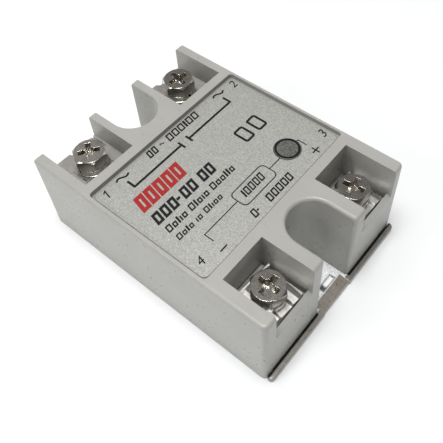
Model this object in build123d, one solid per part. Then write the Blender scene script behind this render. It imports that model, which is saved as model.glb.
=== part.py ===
from build123d import *
import math
import os

# A panel-mount solid state relay, in millimetres. +Z is up, and the base plate's underside is z = 0.
# +X points to the control (input) end, with terminals 3 and 4. -X points to the load end, with terminals
# 1 and 2. Terminals 2 and 3 are on the +Y side. The origin is under the middle of the relay.

# Overall sizes
HOUSING_LENGTH = 60.0
HOUSING_WIDTH = 45.0
HOUSING_HEIGHT = 22.2
MOUNT_PITCH = 47.6
MOUNT_HOLE_RADIUS = 2.25

# Housing walls
CORNER_RADIUS = 1.2
TOP_EDGE_RADIUS = 0.7
SKIRT_WALL = 1.9
CEILING = 1.7
POCKET_FLOOR = 1.7
END_WALL = 1.8
EDGE_BREAK = 0.3
NOTCH_MOUTH_RADIUS = 0.8
FIT_GAP = 0.1
OVERCUT = 1.0

# Mounting notches, one in the middle of each end
LOAD_NOTCH_RADIUS = 5.4
INPUT_NOTCH_RADIUS = 5.2

# Load pockets: open upwards and at the end
LOAD_POCKET_BACK = 16.4
LOAD_POCKET_INNER = 7.3
LOAD_POCKET_OUTER = 20.2
LOAD_SEAT_LEVEL = 16.2

# Input pockets: open upwards, with a low sill at the end
INPUT_POCKET_BACK = 18.2
INPUT_POCKET_INNER = 8.4
INPUT_POCKET_OUTER = 19.5
INPUT_SEAT_LEVEL = 13.2
SILL_LEVEL = 14.4
SILL_WIDTH = 1.0
SILL_DROP = 0.35

# Label recess in the top, and the foil label in it
RECESS_LOAD_END = -14.2
RECESS_INPUT_END = 15.9
RECESS_HALF_WIDTH = 21.6
RECESS_DEPTH = 1.2
RECESS_CORNER = 0.8
LABEL_MARGIN = 0.5
LABEL_THICKNESS = 0.25
LABEL_CORNER = 1.3

# Clip notches for a snap-on cover, in the long top edge on the +Y side
CLIP_NOTCH_LENGTH = 1.2
CLIP_NOTCH_DEPTH = 0.45
CLIP_NOTCH_HEIGHT = 0.5
CLIP_NOTCH_PLACES = (-8.0, 13.5)

# Indicator
INDICATOR_X = 8.95
INDICATOR_Y = 12.0
WINDOW_RADIUS = 2.85
WINDOW_PROUD = 0.15
WINDOW_EDGE = 0.12
LED_RADIUS = 1.5
LED_FLANGE_RADIUS = 1.9
LED_FLANGE_HEIGHT = 0.6
LED_LEG_OFFSET = 1.0
LED_LEG_WIDTH = 0.6
LED_BODY_HEIGHT = 4.4
LED_TOP = 18.2

# Base plate
PLATE_LENGTH = 62.5
PLATE_THICKNESS = 1.5
PLATE_BODY_WIDTH = 41.0
PLATE_LIP_WIDTH = 44.4
PLATE_LIP_RADIUS = 0.25
PLATE_CORNER = 0.8
PLATE_HEADROOM = 0.3
COINED_BAND = 2.6
COINED_DEPTH = 0.15
COINED_HALF_WIDTH = 4.6
COINED_SETBACK = 0.2
STAMP_LENGTH = 4.0
STAMP_WIDTH = 1.1
STAMP_DEPTH = 0.5
STAMP_X = 27.7
STAMP_Y = 1.2

# Terminals
LOAD_SCREW_X = 23.1
LOAD_SCREW_Y = 13.6
INPUT_SCREW_X = 24.0
INPUT_SCREW_Y = 13.95
TERMINAL_THICKNESS = 1.0
TAIL_WIDTH = 2.4
TAIL_THICKNESS = 0.8
TAIL_OFFSET = 4.0
LOAD_FORK_LENGTH = 4.4
LOAD_FORK_WIDTH = 11.6
LOAD_STEM_WIDTH = 7.2
LOAD_PLATE_CORNER = 1.2
LOAD_PLATE_NICK = 0.9
INPUT_PLATE_LENGTH = 10.0
INPUT_PLATE_WIDTH = 10.2
NUT_WIDTH = 7.0
NUT_HEIGHT = 3.2
BOSS_RADIUS = 5.0

# Screws and washers
SHANK_RADIUS = 1.97
NUT_BORE_RADIUS = 2.03
CLEAR_HOLE_RADIUS = 2.2
THREAD_PITCH = 0.7
THREAD_DEPTH = 0.28
SHANK_LENGTH = 8.0
SHANK_ROOM = 0.6
HEX_WIDTH = 6.5
HEX_HEIGHT = 2.4
HEAD_DISC_RADIUS = 3.2
HEAD_CHAMFER_ANGLE = 40.0
HEAD_COLLAR_RADIUS = 3.2
HEAD_COLLAR_HEIGHT = 0.5
CROSS_LENGTH = 4.6
CROSS_FOOT_LENGTH = 2.7
CROSS_ARM_WIDTH = 1.2
CROSS_FOOT_WIDTH = 0.7
CROSS_CENTRE = 2.3
CROSS_FOOT_CENTRE = 1.2
CROSS_DEPTH = 1.6
WASHER_BORE_RADIUS = 2.05
SPRING_WASHER_RADIUS = 3.4
SPRING_WASHER_HEIGHT = 1.2
SPRING_WASHER_CHAMFER = 0.14
SPRING_WASHER_GAP = 0.6
SPRING_WASHER_SLANT = 24.0
PLAIN_WASHER_RADIUS = 3.7
PLAIN_WASHER_HEIGHT = 1.2
PLAIN_WASHER_EDGE = 0.33
CLAMP_FRONT = 4.5
CLAMP_BACK = 4.5
CLAMP_WIDTH = 9.2
CLAMP_HEIGHT = 1.4
CLAMP_CORNER = 1.0
CLAMP_SKEW = -5.0
CLAMP_GROOVE_TOP = 4.0
CLAMP_GROOVE_BOTTOM = 2.8
CLAMP_GROOVE_DEPTH = 0.45
CLAMP_BEVEL_WIDTH = 1.3
CLAMP_BEVEL_DEPTH = 0.5
CLAMP_HEEL = 0.7
CLAMP_HEEL_RISE = 1.0

# How far each terminal's screw head, driver cross and spring washer gap are turned from +X, in degrees
HEX_ANGLE = {1: 33.0, 2: 30.0, 3: 27.0, 4: 12.0}
CROSS_ANGLE = {1: 55.0, 2: 80.0, 3: 8.0, 4: 0.0}
GAP_ANGLE = {1: 270.0, 2: 0.0, 3: 150.0, 4: 290.0}

# Electronics
INSULATOR_LENGTH = 26.0
INSULATOR_WIDTH = 18.0
INSULATOR_THICKNESS = 0.6
TRIAC_X = 2.0
TRIAC_LENGTH = 15.0
TRIAC_WIDTH = 15.6
TRIAC_HEIGHT = 3.3
TAB_LENGTH = 19.9
TAB_THICKNESS = 1.5
LEAD_PITCH = 5.45
LEAD_WIDTH = 1.2
LEAD_THICKNESS = 0.6
LEAD_RISE = 1.1
LEAD_REACH = 4.6
GATE_REACH = 1.6
STRAP_WIDTH = 2.4
STRAP_THICKNESS = 0.8
BOARD_LEVEL = 8.6
BOARD_THICKNESS = 1.6
BOARD_LOAD_END = -12.6
BOARD_INPUT_END = 16.0
BOARD_HALF_WIDTH = 19.6
BOARD_EAR_END = 19.9
POTTING_LEVEL = 8.0
RESISTOR_RADIUS = 1.2
RESISTOR_LENGTH = 6.4
RESISTOR_END_RADIUS = 0.4
RESISTOR_PITCH = 4.0
RESISTOR_X = 10.0
RESISTOR_FIRST_Y = -16.0
RESISTOR_COUNT = 4

# Single components on the board: middle as X and Y, then length, width and height
COMPONENTS = {
    "optocoupler": (-4.0, 0.0, 7.3, 6.5, 3.5),
    "snubber_capacitor": (-5.0, -12.5, 7.2, 5.0, 6.5),
    "gate_thyristor": (-5.0, 12.5, 4.6, 4.0, 4.6),
    "input_transistor": (5.0, 3.0, 3.0, 1.6, 1.2),
}

half_length = HOUSING_LENGTH / 2
half_width = HOUSING_WIDTH / 2
half_plate = PLATE_LENGTH / 2
notch_x = MOUNT_PITCH / 2
recess_floor = HOUSING_HEIGHT - RECESS_DEPTH
cavity_ceiling = recess_floor - CEILING
cavity_half_width = half_width - SKIRT_WALL
load_floor = LOAD_SEAT_LEVEL - TERMINAL_THICKNESS
input_floor = INPUT_SEAT_LEVEL - TERMINAL_THICKNESS
wall_foot = PLATE_THICKNESS + PLATE_HEADROOM
load_wall = LOAD_POCKET_INNER - LOAD_NOTCH_RADIUS

# Which end and which side each terminal is at, as signs of X and Y.
TERMINAL_SIDES = {1: (-1, -1), 2: (-1, 1), 3: (1, 1), 4: (1, -1)}


def block(x, y, z):
    """A box between two values on each axis, given in either order."""
    centre = [(low + high) / 2 for low, high in (x, y, z)]
    size = [abs(high - low) for low, high in (x, y, z)]
    return Pos(*centre) * Box(*size)


def rounded_block(x, y, z, radius):
    """A box with its four upright edges rounded."""
    solid = block(x, y, z)
    return fillet(solid.edges().filter_by(Axis.Z), radius)


def disc(x, y, radius, low, high):
    """An upright cylinder between two heights."""
    return Pos(x, y, (low + high) / 2) * Cylinder(radius, high - low)


def notch_shape(end, radius, low, high):
    """The U-shaped space of a mounting notch: a round bottom on the mounting centre, open at the end."""
    outside = end * (half_plate + OVERCUT)
    slot = block((end * notch_x, outside), (-radius, radius), (low, high))
    return slot + disc(end * notch_x, 0, radius, low, high)


def is_load(terminal):
    return TERMINAL_SIDES[terminal][0] < 0


def screw_place(terminal):
    """The screw axis of a terminal, as X and Y."""
    end, side = TERMINAL_SIDES[terminal]
    if is_load(terminal):
        return end * LOAD_SCREW_X, side * LOAD_SCREW_Y
    return end * INPUT_SCREW_X, side * INPUT_SCREW_Y


def seat_level(terminal):
    """The top of a terminal's contact plate."""
    return LOAD_SEAT_LEVEL if is_load(terminal) else INPUT_SEAT_LEVEL


def washer_level(terminal):
    """The underside of a terminal's spring washer."""
    return seat_level(terminal) + (PLAIN_WASHER_HEIGHT if is_load(terminal) else CLAMP_HEIGHT)


def shank_top(terminal):
    """Where a screw's shank starts, inside its head."""
    return washer_level(terminal) + SPRING_WASHER_HEIGHT + HEAD_COLLAR_HEIGHT / 2


def shank_end(terminal):
    return shank_top(terminal) - SHANK_LENGTH


def tail_place(terminal):
    """The middle of the tail that runs down from the back of a contact plate."""
    end, side = TERMINAL_SIDES[terminal]
    back = LOAD_POCKET_BACK if is_load(terminal) else INPUT_POCKET_BACK
    x = end * (back + FIT_GAP + TAIL_THICKNESS / 2)
    return x, screw_place(terminal)[1] - side * TAIL_OFFSET


def tail(terminal, low, high, gap=0.0):
    x, y = tail_place(terminal)
    half_thickness = TAIL_THICKNESS / 2 + gap
    half_tail = TAIL_WIDTH / 2 + gap
    return block((x - half_thickness, x + half_thickness), (y - half_tail, y + half_tail), (low, high))


def cavity():
    """The space inside the housing, open underneath, without the terminal bosses."""
    height = (-OVERCUT, cavity_ceiling)
    width = (-cavity_half_width, cavity_half_width)
    space = block((RECESS_LOAD_END, RECESS_INPUT_END), width, height)
    load_end = -(half_length - END_WALL)
    input_end = half_length - END_WALL
    space += block((load_end, RECESS_LOAD_END), width, (-OVERCUT, load_floor - POCKET_FLOOR))
    space += block((RECESS_INPUT_END, input_end), width, (-OVERCUT, input_floor - POCKET_FLOOR))
    space -= notch_shape(-1, LOAD_NOTCH_RADIUS + load_wall, wall_foot, HOUSING_HEIGHT)
    space -= notch_shape(1, INPUT_NOTCH_RADIUS + load_wall, wall_foot, HOUSING_HEIGHT)
    for terminal in TERMINAL_SIDES:
        x, y = screw_place(terminal)
        low = shank_end(terminal) - SHANK_ROOM - POCKET_FLOOR
        space -= disc(x, y, BOSS_RADIUS, low, HOUSING_HEIGHT)
    return space


def load_pocket(side):
    """One load pocket: open upwards and at the end, with a T-shaped seat for the contact plate."""
    back = -LOAD_POCKET_BACK
    end = -half_length - OVERCUT
    width = (side * LOAD_POCKET_INNER, side * LOAD_POCKET_OUTER)
    y = side * LOAD_SCREW_Y
    fork_back = -half_length + LOAD_FORK_LENGTH
    half_fork = LOAD_FORK_WIDTH / 2 + FIT_GAP
    half_stem = LOAD_STEM_WIDTH / 2 + FIT_GAP
    space = block((end, back), width, (LOAD_SEAT_LEVEL, HOUSING_HEIGHT + OVERCUT))
    space += block((end, fork_back + FIT_GAP), (y - half_fork, y + half_fork), (load_floor, LOAD_SEAT_LEVEL))
    space += block((end, back), (y - half_stem, y + half_stem), (load_floor, LOAD_SEAT_LEVEL))
    return space


def input_pocket(side):
    """One input pocket: open upwards, with a sill at the end that is a little above the contact plate."""
    width = (side * INPUT_POCKET_INNER, side * INPUT_POCKET_OUTER)
    sill = half_length - SILL_WIDTH
    over = HOUSING_HEIGHT + OVERCUT
    outline = Polyline(
        (INPUT_POCKET_BACK, width[0], over),
        (INPUT_POCKET_BACK, width[0], input_floor),
        (sill, width[0], input_floor),
        (sill, width[0], SILL_LEVEL),
        (half_length, width[0], SILL_LEVEL - SILL_DROP),
        (half_length + OVERCUT, width[0], SILL_LEVEL - SILL_DROP),
        (half_length + OVERCUT, width[0], over),
        close=True,
    )
    return extrude(make_face(outline), abs(width[1] - width[0]), dir=(0, side, 0))


def nut_pocket(terminal):
    """The square pocket of a captive nut, and the blind hole below it for the screw's end."""
    x, y = screw_place(terminal)
    floor = seat_level(terminal) - TERMINAL_THICKNESS
    half_nut = NUT_WIDTH / 2 + FIT_GAP
    pocket = block((x - half_nut, x + half_nut), (y - half_nut, y + half_nut), (floor - NUT_HEIGHT, floor))
    return pocket + disc(x, y, CLEAR_HOLE_RADIUS, shank_end(terminal) - SHANK_ROOM, floor)


def outer_block():
    """The housing's outside with its two notches, its rounded upright edges and its rounded top edges."""
    body = Pos(0, 0, HOUSING_HEIGHT / 2) * Box(HOUSING_LENGTH, HOUSING_WIDTH, HOUSING_HEIGHT)
    body -= notch_shape(-1, LOAD_NOTCH_RADIUS, -OVERCUT, HOUSING_HEIGHT + OVERCUT)
    body -= notch_shape(1, INPUT_NOTCH_RADIUS, -OVERCUT, HOUSING_HEIGHT + OVERCUT)
    input_edges = body.edges().filter_by(Axis.Z).group_by(Axis.X)[-1].sort_by(Axis.Y)
    body = fillet(input_edges[1:-1], NOTCH_MOUTH_RADIUS)
    input_edges = body.edges().filter_by(Axis.Z).sort_by(Axis.Y)
    input_edges = [edge for edge in input_edges if edge.center().X > half_length - FIT_GAP]
    body = fillet([input_edges[0], input_edges[-1]], CORNER_RADIUS)
    load_edges = body.edges().filter_by(Axis.Z).group_by(Axis.X)[0].sort_by(Axis.Y)
    body = fillet([load_edges[0], load_edges[-1]], EDGE_BREAK)
    top = body.edges().group_by(Axis.Z)[-1]
    beyond_end = [edge for edge in top if edge.center().X > -half_length + FIT_GAP / 2]
    outer = [edge for edge in beyond_end if not in_load_notch(edge)]
    body = fillet(outer, TOP_EDGE_RADIUS)
    top = body.edges().group_by(Axis.Z)[-1]
    inner = [edge for edge in top if in_load_notch(edge) and edge.center().X > -half_length + FIT_GAP / 2]
    return fillet(inner, EDGE_BREAK)


def in_load_notch(edge):
    """Whether an edge belongs to the load end's notch."""
    return edge.center().X < RECESS_LOAD_END and abs(edge.center().Y) < LOAD_NOTCH_RADIUS + FIT_GAP


def make_housing():
    """The one-piece plastic shell."""
    body = outer_block()
    for side in (-1, 1):
        body -= load_pocket(side)
        body -= input_pocket(side)
    body -= rounded_block(
        (RECESS_LOAD_END, RECESS_INPUT_END),
        (-RECESS_HALF_WIDTH, RECESS_HALF_WIDTH),
        (recess_floor, HOUSING_HEIGHT + OVERCUT),
        RECESS_CORNER,
    )
    body -= cavity()
    rebate_ends = half_length + OVERCUT
    rebate_width = PLATE_BODY_WIDTH / 2 + FIT_GAP
    body -= block((-rebate_ends, rebate_ends), (-rebate_width, rebate_width), (-OVERCUT, wall_foot))
    body -= disc(INDICATOR_X, INDICATOR_Y, WINDOW_RADIUS + FIT_GAP, cavity_ceiling - OVERCUT, HOUSING_HEIGHT)
    for terminal in TERMINAL_SIDES:
        body -= nut_pocket(terminal)
        body -= tail(terminal, 0, seat_level(terminal), FIT_GAP)
    for x in CLIP_NOTCH_PLACES:
        body -= block(
            (x - CLIP_NOTCH_LENGTH / 2, x + CLIP_NOTCH_LENGTH / 2),
            (half_width - CLIP_NOTCH_DEPTH, half_width + OVERCUT),
            (HOUSING_HEIGHT - TOP_EDGE_RADIUS - CLIP_NOTCH_HEIGHT, HOUSING_HEIGHT - TOP_EDGE_RADIUS),
        )
    return body


def make_base_plate():
    """The metal mounting plate: a round hole at the input end, and an open slot at the load end."""
    half_body = PLATE_BODY_WIDTH / 2
    half_lip = PLATE_LIP_WIDTH / 2
    height = (0, PLATE_THICKNESS)
    plate = block((-half_plate, half_plate), (-half_body, half_body), height)
    for end in (-1, 1):
        start = end * (half_length + FIT_GAP)
        lip = block((start, end * half_plate), (-half_lip, half_lip), height)
        corners = lip.edges().filter_by(Axis.Z).group_by(Axis.X)[-1 if end > 0 else 0]
        lip = fillet(corners, PLATE_CORNER)
        top = lip.faces().sort_by(Axis.Z)[-1].edges().filter_by(Axis.Y).sort_by(Axis.X)[-1 if end > 0 else 0]
        plate = plate - block((end * half_length, end * half_plate), (-half_lip, half_lip), height)
        plate += block((end * half_length, start), (-half_body, half_body), height)
        plate += fillet(top, PLATE_LIP_RADIUS)
    band = (-COINED_HALF_WIDTH, COINED_HALF_WIDTH)
    band_top = PLATE_THICKNESS - COINED_DEPTH
    over = PLATE_THICKNESS + OVERCUT
    plate -= block((half_plate - COINED_BAND, half_plate + OVERCUT), band, (band_top, over))
    plate -= block((half_plate - COINED_SETBACK, half_plate + OVERCUT), band, (-OVERCUT, PLATE_THICKNESS))
    plate -= stamped_groove()
    plate -= disc(notch_x, 0, MOUNT_HOLE_RADIUS, -OVERCUT, PLATE_THICKNESS + OVERCUT)
    plate -= notch_shape(-1, MOUNT_HOLE_RADIUS, -OVERCUT, PLATE_THICKNESS + OVERCUT)
    return plate


def stamped_groove():
    """The short V-shaped groove stamped across the plate in the input notch."""
    y = STAMP_Y - STAMP_LENGTH / 2
    outline = Polyline(
        (STAMP_X - STAMP_WIDTH / 2, y, PLATE_THICKNESS),
        (STAMP_X, y, PLATE_THICKNESS - STAMP_DEPTH),
        (STAMP_X + STAMP_WIDTH / 2, y, PLATE_THICKNESS),
        close=True,
    )
    return extrude(make_face(outline), STAMP_LENGTH, dir=(0, 1, 0))


def make_label():
    """The foil label in the recess, with a hole for the indicator window."""
    label = rounded_block(
        (RECESS_LOAD_END + LABEL_MARGIN, RECESS_INPUT_END - LABEL_MARGIN),
        (-RECESS_HALF_WIDTH + LABEL_MARGIN, RECESS_HALF_WIDTH - LABEL_MARGIN),
        (recess_floor, recess_floor + LABEL_THICKNESS),
        LABEL_CORNER,
    )
    hole_radius = WINDOW_RADIUS + FIT_GAP
    return label - disc(INDICATOR_X, INDICATOR_Y, hole_radius, recess_floor - OVERCUT, HOUSING_HEIGHT)


def make_window():
    """The smoky window over the indicator, standing a little proud of the label."""
    top = recess_floor + LABEL_THICKNESS + WINDOW_PROUD
    window = disc(INDICATOR_X, INDICATOR_Y, WINDOW_RADIUS, cavity_ceiling, top)
    rim = window.edges().filter_by(GeomType.CIRCLE).sort_by(Axis.Z)[-1]
    return fillet(rim, WINDOW_EDGE)


def make_led():
    """A 3 mm light emitting diode, standing on its two legs in the board."""
    low = LED_TOP - LED_BODY_HEIGHT
    body = disc(INDICATOR_X, INDICATOR_Y, LED_RADIUS, low, LED_TOP - LED_RADIUS)
    body += Pos(INDICATOR_X, INDICATOR_Y, LED_TOP - LED_RADIUS) * Sphere(LED_RADIUS)
    return body + disc(INDICATOR_X, INDICATOR_Y, LED_FLANGE_RADIUS, low, low + LED_FLANGE_HEIGHT)


def make_led_legs():
    """The diode's two square legs, from its flange down to the top of the board."""
    board_top = BOARD_LEVEL + BOARD_THICKNESS
    half_leg = LED_LEG_WIDTH / 2
    legs = []
    for side in (-1, 1):
        y = INDICATOR_Y + side * LED_LEG_OFFSET
        x = (INDICATOR_X - half_leg, INDICATOR_X + half_leg)
        legs.append(block(x, (y - half_leg, y + half_leg), (board_top, LED_TOP - LED_BODY_HEIGHT)))
    return legs


def cross_recess(top):
    """A driver recess: two crossed arms and a wider centre, all narrowing downwards."""
    foot = top - CROSS_DEPTH
    arm = (CROSS_LENGTH, CROSS_ARM_WIDTH, CROSS_FOOT_LENGTH, CROSS_FOOT_WIDTH)
    centre = (CROSS_CENTRE, CROSS_CENTRE, CROSS_FOOT_CENTRE, CROSS_FOOT_CENTRE)
    recess = None
    for turn, (length, width, foot_length, foot_width) in ((0, arm), (90, arm), (45, centre)):
        upper = Pos(0, 0, top) * Rot(0, 0, turn) * Rectangle(length, width)
        lower = Pos(0, 0, foot) * Rot(0, 0, turn) * Rectangle(foot_length, foot_width)
        piece = loft([lower.face(), upper.face()])
        recess = piece if recess is None else recess + piece
    return recess


def threaded_shank(top):
    """A shank with a groove for each turn of its thread, and a pointed end."""
    low = top - SHANK_LENGTH
    core = SHANK_RADIUS - THREAD_DEPTH
    points = [(0, top), (SHANK_RADIUS, top), (SHANK_RADIUS, top - THREAD_PITCH)]
    turns = int((SHANK_LENGTH - 3 * THREAD_PITCH) / THREAD_PITCH)
    for turn in range(turns):
        crest = top - THREAD_PITCH * (turn + 1)
        points.append((core, crest - THREAD_PITCH / 2))
        points.append((SHANK_RADIUS, crest - THREAD_PITCH))
    points.append((core, low))
    points.append((0, low))
    outline = Polyline(*[(radius, 0, height) for radius, height in points], close=True)
    return revolve(make_face(outline), Axis.Z, 360)


def make_screw(terminal):
    """A terminal screw: a hexagon head on a round collar, with a driver cross in its chamfered top."""
    x, y = screw_place(terminal)
    low = washer_level(terminal) + SPRING_WASHER_HEIGHT
    foot = low + HEAD_COLLAR_HEIGHT
    top = foot + HEX_HEIGHT
    hexagon = extrude(Pos(0, 0, foot) * RegularPolygon(HEX_WIDTH / 2, 6, major_radius=False), HEX_HEIGHT)
    corner = HEX_WIDTH / math.sqrt(3)
    drop = (corner - HEAD_DISC_RADIUS) * math.tan(math.radians(HEAD_CHAMFER_ANGLE))
    crown = disc(0, 0, corner, low - OVERCUT, top - drop)
    crown += Pos(0, 0, top - drop / 2) * Cone(corner, HEAD_DISC_RADIUS, drop)
    head = hexagon & crown
    head += disc(0, 0, HEAD_COLLAR_RADIUS, low, foot)
    head = Rot(0, 0, HEX_ANGLE[terminal]) * head - Rot(0, 0, CROSS_ANGLE[terminal]) * cross_recess(top)
    return Pos(x, y, 0) * (head + threaded_shank(shank_top(terminal)))


def make_spring_washer(terminal):
    """A split spring washer, pressed flat, with a slanted gap."""
    x, y = screw_place(terminal)
    low = washer_level(terminal)
    high = low + SPRING_WASHER_HEIGHT
    bore = disc(0, 0, WASHER_BORE_RADIUS, low - OVERCUT, high + OVERCUT)
    ring = disc(0, 0, SPRING_WASHER_RADIUS, low, high) - bore
    ring = chamfer(ring.edges().filter_by(GeomType.CIRCLE).group_by(Axis.Z)[-1], SPRING_WASHER_CHAMFER)
    cut = Box(SPRING_WASHER_RADIUS * 2, SPRING_WASHER_GAP, SPRING_WASHER_HEIGHT * 2)
    cut = Pos(SPRING_WASHER_RADIUS, 0, (low + high) / 2) * Rot(SPRING_WASHER_SLANT, 0, 0) * cut
    return Pos(x, y, 0) * Rot(0, 0, GAP_ANGLE[terminal]) * (ring - cut)


def make_plain_washer(terminal):
    """A plain washer with softened edges, under a load terminal's spring washer."""
    x, y = screw_place(terminal)
    low = seat_level(terminal)
    high = low + PLAIN_WASHER_HEIGHT
    ring = disc(x, y, PLAIN_WASHER_RADIUS, low, high)
    ring = fillet(ring.edges().filter_by(GeomType.CIRCLE).sort_by(Axis.Z)[-1], PLAIN_WASHER_EDGE)
    return ring - disc(x, y, WASHER_BORE_RADIUS, low - OVERCUT, high + OVERCUT)


def make_wire_clamp(terminal):
    """A pressure plate: a pressed channel in the wire's direction, bevelled sides and a turned-up heel."""
    x, y = screw_place(terminal)
    low = seat_level(terminal)
    high = low + CLAMP_HEIGHT
    half_clamp = CLAMP_WIDTH / 2
    groove = high - CLAMP_GROOVE_DEPTH
    profile = Polyline(
        (0, -half_clamp, low),
        (0, half_clamp, low),
        (0, half_clamp, high - CLAMP_BEVEL_DEPTH),
        (0, half_clamp - CLAMP_BEVEL_WIDTH, high),
        (0, CLAMP_GROOVE_TOP / 2, high),
        (0, CLAMP_GROOVE_BOTTOM / 2, groove),
        (0, -CLAMP_GROOVE_BOTTOM / 2, groove),
        (0, -CLAMP_GROOVE_TOP / 2, high),
        (0, CLAMP_BEVEL_WIDTH - half_clamp, high),
        (0, -half_clamp, high - CLAMP_BEVEL_DEPTH),
        close=True,
    )
    plate = extrude(Pos(-CLAMP_BACK, 0, 0) * make_face(profile), CLAMP_FRONT + CLAMP_BACK, dir=(1, 0, 0))
    heel_top = high + CLAMP_HEEL_RISE
    heel = block((-CLAMP_BACK, CLAMP_HEEL - CLAMP_BACK), (-half_clamp, half_clamp), (low, heel_top))
    rear = (heel.faces().sort_by(Axis.Z)[-1].edges().filter_by(Axis.Y)).sort_by(Axis.X)[0]
    plate += fillet(rear, CLAMP_HEEL / 2)
    corners = [e for e in plate.edges().filter_by(Axis.Z) if abs(abs(e.center().Y) - half_clamp) < FIT_GAP]
    corners = [e for e in corners if e.center().X > 0]
    plate = fillet(corners, CLAMP_CORNER)
    plate -= disc(0, 0, CLEAR_HOLE_RADIUS, low - OVERCUT, high + OVERCUT)
    return Pos(x, y, 0) * Rot(0, 0, CLAMP_SKEW) * plate


def make_load_plate(terminal):
    """A load contact plate: a wide fork end at the opening, a narrow stem under the screw, and a tail."""
    end, side = TERMINAL_SIDES[terminal]
    x, y = screw_place(terminal)
    height = (load_floor, LOAD_SEAT_LEVEL)
    half_fork = LOAD_FORK_WIDTH / 2
    half_stem = LOAD_STEM_WIDTH / 2
    front = -half_length
    fork = block((front, front + LOAD_FORK_LENGTH), (y - half_fork, y + half_fork), height)
    fork = fillet(fork.edges().filter_by(Axis.Z).group_by(Axis.X)[0], LOAD_PLATE_CORNER)
    back = -LOAD_POCKET_BACK - FIT_GAP
    stem = block((front + LOAD_FORK_LENGTH, back), (y - half_stem, y + half_stem), height)
    plate = fork + stem - disc(x, y, CLEAR_HOLE_RADIUS, 0, HOUSING_HEIGHT)
    plate -= disc(front, y, LOAD_PLATE_NICK, 0, HOUSING_HEIGHT)
    tail_y = tail_place(terminal)[1]
    link = (min(tail_y, y) - TAIL_WIDTH / 2, max(tail_y, y) + TAIL_WIDTH / 2)
    tail_x = tail_place(terminal)[0]
    plate += block((tail_x - TAIL_THICKNESS / 2, tail_x + TAIL_THICKNESS / 2), link, height)
    return plate + tail(terminal, strap_top(), LOAD_SEAT_LEVEL)


def make_input_plate(terminal):
    """An input contact plate with a tail that runs down through the board."""
    x, y = screw_place(terminal)
    back = INPUT_POCKET_BACK + FIT_GAP
    half_plate_width = INPUT_PLATE_WIDTH / 2
    plate = rounded_block(
        (back, back + INPUT_PLATE_LENGTH),
        (y - half_plate_width, y + half_plate_width),
        (input_floor, INPUT_SEAT_LEVEL),
        EDGE_BREAK,
    )
    plate -= disc(x, y, CLEAR_HOLE_RADIUS, 0, HOUSING_HEIGHT)
    return plate + tail(terminal, BOARD_LEVEL, INPUT_SEAT_LEVEL - EDGE_BREAK)


def make_nuts():
    """Four square captive nuts, one under each contact plate."""
    nuts = []
    half_nut = NUT_WIDTH / 2
    for terminal in TERMINAL_SIDES:
        x, y = screw_place(terminal)
        high = seat_level(terminal) - TERMINAL_THICKNESS
        height = (high - NUT_HEIGHT, high)
        nut = block((x - half_nut, x + half_nut), (y - half_nut, y + half_nut), height)
        nuts.append(nut - disc(x, y, NUT_BORE_RADIUS, high - NUT_HEIGHT - OVERCUT, high + OVERCUT))
    return nuts


def triac_floor():
    return PLATE_THICKNESS + INSULATOR_THICKNESS


def lead_top():
    """The top of the power triac's leads."""
    return triac_floor() + TAB_THICKNESS + LEAD_RISE + LEAD_THICKNESS


def strap_top():
    return lead_top() + STRAP_THICKNESS


def make_insulator():
    """The ceramic tile between the power triac and the base plate."""
    half_tile = INSULATOR_WIDTH / 2
    ends = (TRIAC_X - INSULATOR_LENGTH / 2, TRIAC_X + INSULATOR_LENGTH / 2)
    return block(ends, (-half_tile, half_tile), (PLATE_THICKNESS, triac_floor()))


def make_triac_tab():
    """The power triac's metal back, with its fixing hole."""
    half_tab = TRIAC_WIDTH / 2
    start = TRIAC_X - TRIAC_LENGTH / 2
    height = (triac_floor(), triac_floor() + TAB_THICKNESS)
    tab = rounded_block((start, start + TAB_LENGTH), (-half_tab, half_tab), height, CORNER_RADIUS)
    hole_x = start + (TRIAC_LENGTH + TAB_LENGTH) / 2
    return tab - disc(hole_x, 0, TAB_THICKNESS, 0, HOUSING_HEIGHT)


def make_triac_case():
    """The moulded case of the power triac."""
    half_case = TRIAC_WIDTH / 2
    low = triac_floor() + TAB_THICKNESS
    ends = (TRIAC_X - TRIAC_LENGTH / 2, TRIAC_X + TRIAC_LENGTH / 2)
    case = block(ends, (-half_case, half_case), (low, low + TRIAC_HEIGHT))
    return chamfer(case.faces().sort_by(Axis.Z)[-1].edges(), EDGE_BREAK)


def make_triac_leads():
    """The three leads: two flat for the load, and one for the gate that is bent up to the board."""
    start = TRIAC_X - TRIAC_LENGTH / 2
    height = (lead_top() - LEAD_THICKNESS, lead_top())
    half_lead = LEAD_WIDTH / 2
    leads = []
    for place in (-1, 0, 1):
        y = place * LEAD_PITCH
        reach = GATE_REACH if place == 1 else LEAD_REACH
        lead = block((start - reach, start), (y - half_lead, y + half_lead), height)
        if place == 1:
            rise = (lead_top(), BOARD_LEVEL)
            end = start - reach
            lead += block((end, end + LEAD_THICKNESS), (y - half_lead, y + half_lead), rise)
        leads.append(lead)
    return leads


def make_load_strap(terminal):
    """A copper strip from one triac lead to the tail of a load contact plate."""
    side = TERMINAL_SIDES[terminal][1]
    tail_x, tail_y = tail_place(terminal)
    start = TRIAC_X - TRIAC_LENGTH / 2
    lead_y = -LEAD_PITCH if side < 0 else 0.0
    half_strap = STRAP_WIDTH / 2
    height = (lead_top(), strap_top())
    run_x = start - LEAD_REACH + half_strap
    across = block((run_x - half_strap, run_x + half_strap), (lead_y - side * half_strap / 2, tail_y), height)
    width = (tail_y - half_strap, tail_y + half_strap)
    along = block((tail_x - half_strap, run_x + half_strap), width, height)
    return across + along


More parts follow.
